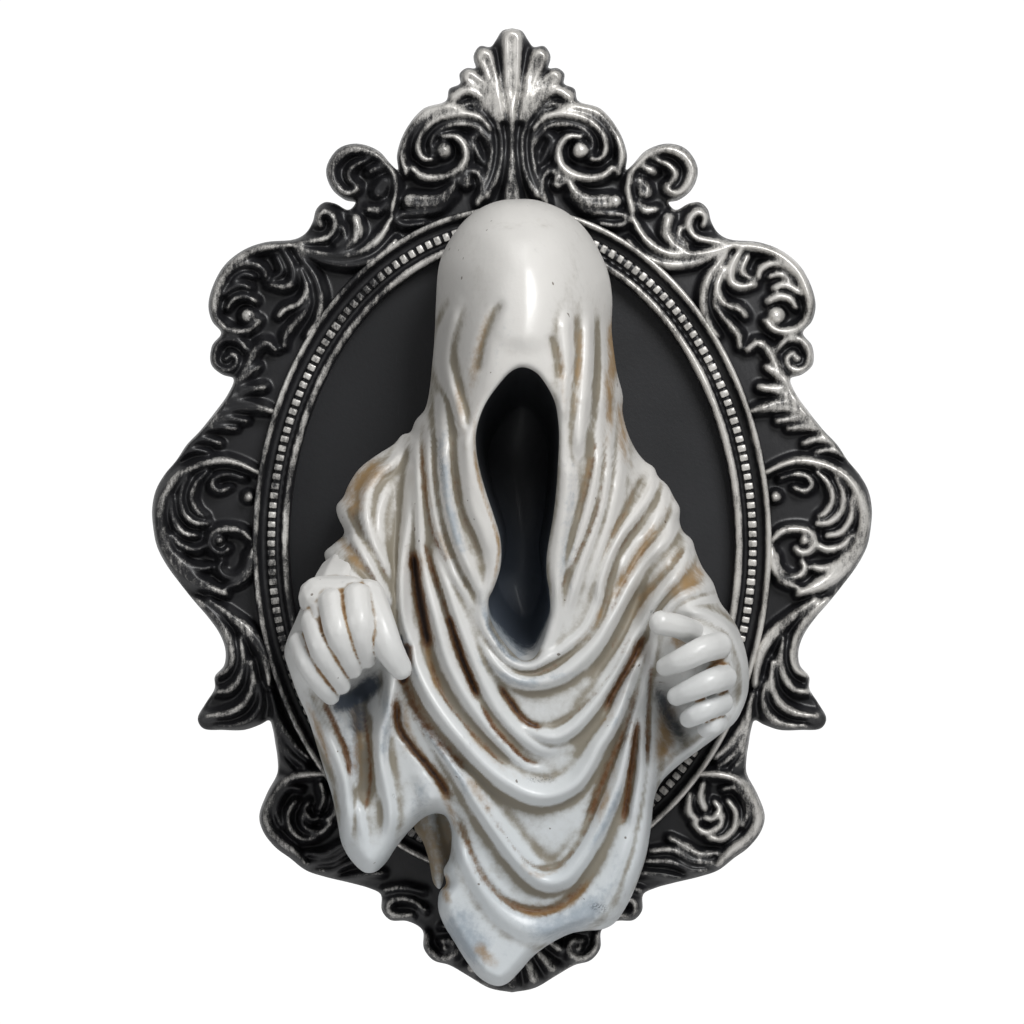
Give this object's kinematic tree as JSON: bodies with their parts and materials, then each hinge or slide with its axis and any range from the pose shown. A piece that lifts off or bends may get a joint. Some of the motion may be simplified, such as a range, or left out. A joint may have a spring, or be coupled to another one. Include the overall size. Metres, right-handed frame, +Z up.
{
  "type": "wall sculpture",
  "caption": "Oval baroque wall plaque with a hooded, faceless ghost in draped cloth leaning out of it and reaching forward.",
  "frame": {"origin": "on the flat back, at the mount, behind the middle of the oval", "axes": "+Z up, +Y into the wall, the front faces -Y, +X to the right seen from the front"},
  "size_m": [0.2678, 0.1005, 0.359],
  "materials": {
    "frame_black_silver": "black paint with worn silver dry-brushing over cast resin",
    "board_charcoal": "satin charcoal black paint over cast resin",
    "robe_ivory": "semi-gloss aged ivory paint with brown wash in the folds"
  },
  "bodies": {
    "root": {"baroque_frame": "frame_black_silver", "oval_back_board": "board_charcoal", "ghost_figure": "robe_ivory"}
  },
  "joints": []
}
